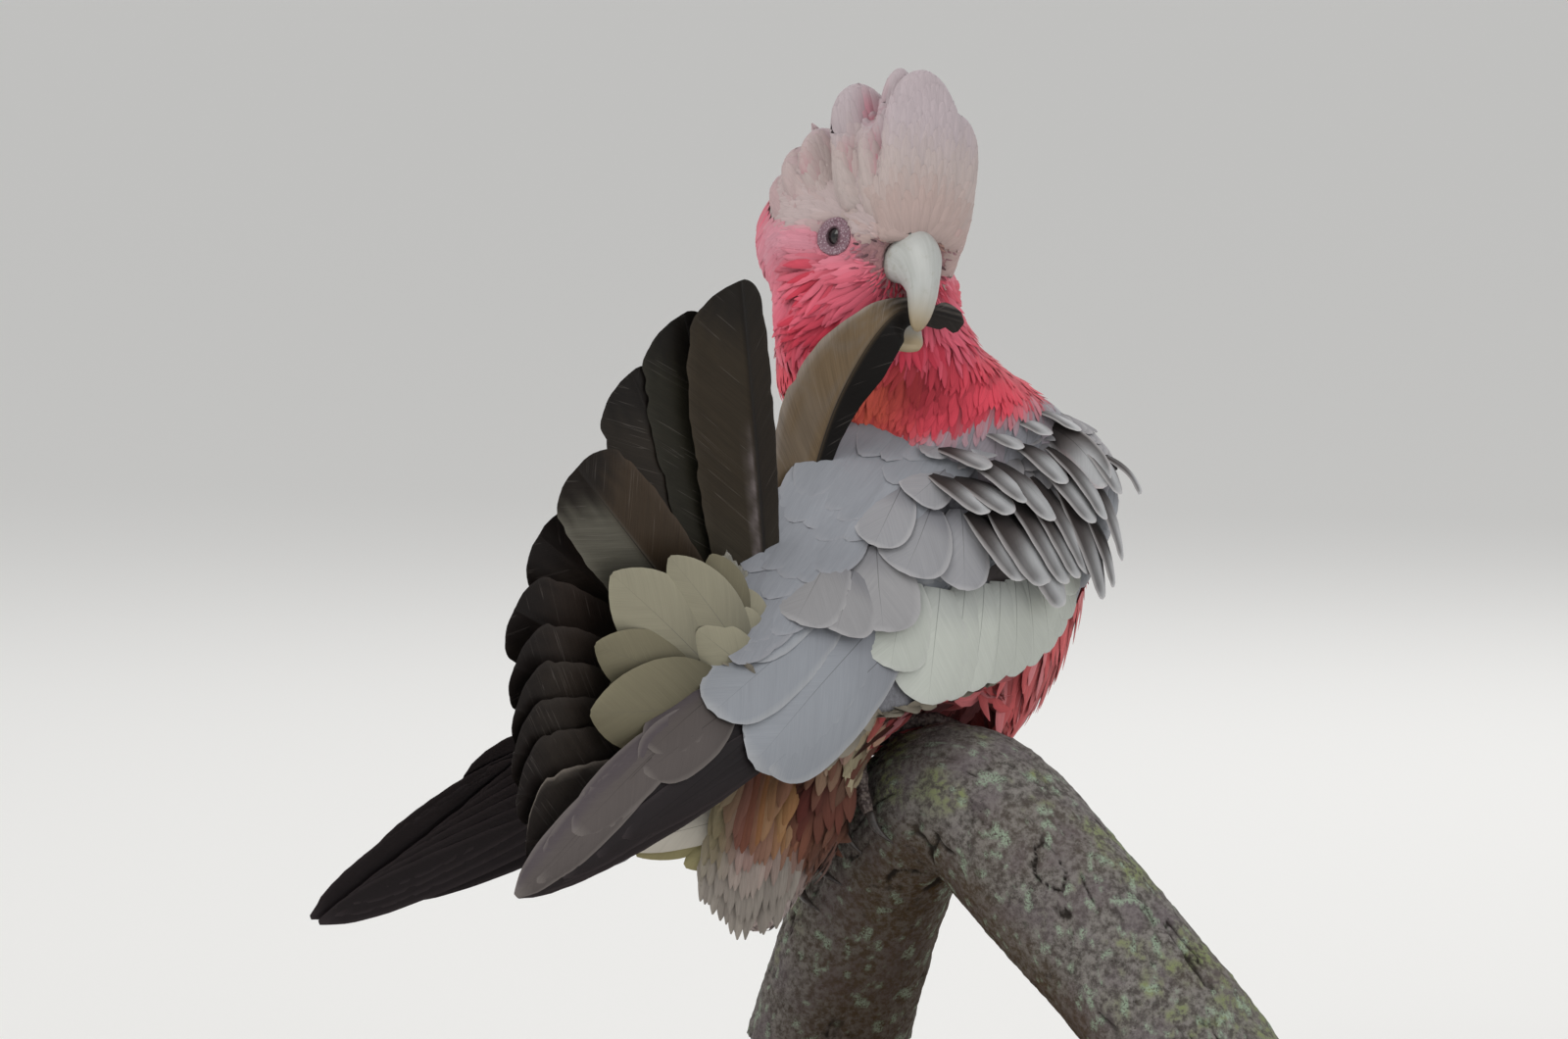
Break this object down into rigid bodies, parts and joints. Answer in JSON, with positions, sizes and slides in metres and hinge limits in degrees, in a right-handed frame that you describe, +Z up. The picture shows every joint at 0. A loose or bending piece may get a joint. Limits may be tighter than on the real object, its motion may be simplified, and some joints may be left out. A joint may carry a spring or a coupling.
{
  "type": "perched cockatoo model",
  "caption": "Life-size galah cockatoo preening a fanned tail feather, gripping a short arched branch on two rods over a flat base.",
  "frame": {"origin": "middle of the underside of the stand's base, on the surface it stands on", "axes": "+Z up; -Y towards the viewer who sees the bird's back, right wing and turned-back face; +X to that viewer's right"},
  "size_m": [0.3048, 0.2115, 0.3525],
  "materials": {
    "plumage_pink": "matt feather coat",
    "plumage_pale": "matt feather coat",
    "plumage_grey": "matt feather coat",
    "tail_brown": "silky feather vanes",
    "coverts_cream": "matt feather coat",
    "bill_horn": "polished horn",
    "eye_dark": "wet gloss",
    "foot_skin": "scaly skin",
    "claw_horn": "dark horn",
    "bark": "rough bark with lichen",
    "stand_wood": "stained, satin",
    "stand_steel": "satin"
  },
  "bodies": {
    "root": {"bill_lower": "bill_horn", "bill_upper": "bill_horn", "claw_left_fore_inner": "claw_horn", "claw_left_fore_outer": "claw_horn", "claw_left_hind_inner": "claw_horn", "claw_left_hind_outer": "claw_horn", "claw_right_fore_inner": "claw_horn", "claw_right_fore_outer": "claw_horn", "claw_right_hind_inner": "claw_horn", "claw_right_hind_outer": "claw_horn", "crest": "plumage_pale", "eye_left": "eye_dark", "eye_right": "eye_dark", "foot_left": "foot_skin", "foot_right": "foot_skin", "head": "plumage_pink", "leg_left": "foot_skin", "leg_right": "foot_skin", "neck": "plumage_pink", "perch_branch": "bark", "stand_base": "stand_wood", "stand_rod_back": "stand_steel", "stand_rod_front": "stand_steel", "tail_feather_01": "tail_brown", "tail_feather_02": "tail_brown", "tail_feather_03": "tail_brown", "tail_feather_04": "tail_brown", "tail_feather_05": "tail_brown", "tail_feather_06": "tail_brown", "tail_feather_07": "tail_brown", "tail_feather_08": "tail_brown", "tail_feather_09": "tail_brown", "tail_feather_10": "tail_brown", "tail_feather_11": "tail_brown", "tail_feather_12": "tail_brown", "trunk": "plumage_pink", "undertail_coverts": "coverts_cream", "uppertail_coverts": "plumage_grey", "wing_left": "plumage_grey", "wing_right": "plumage_grey"}
  },
  "joints": []
}
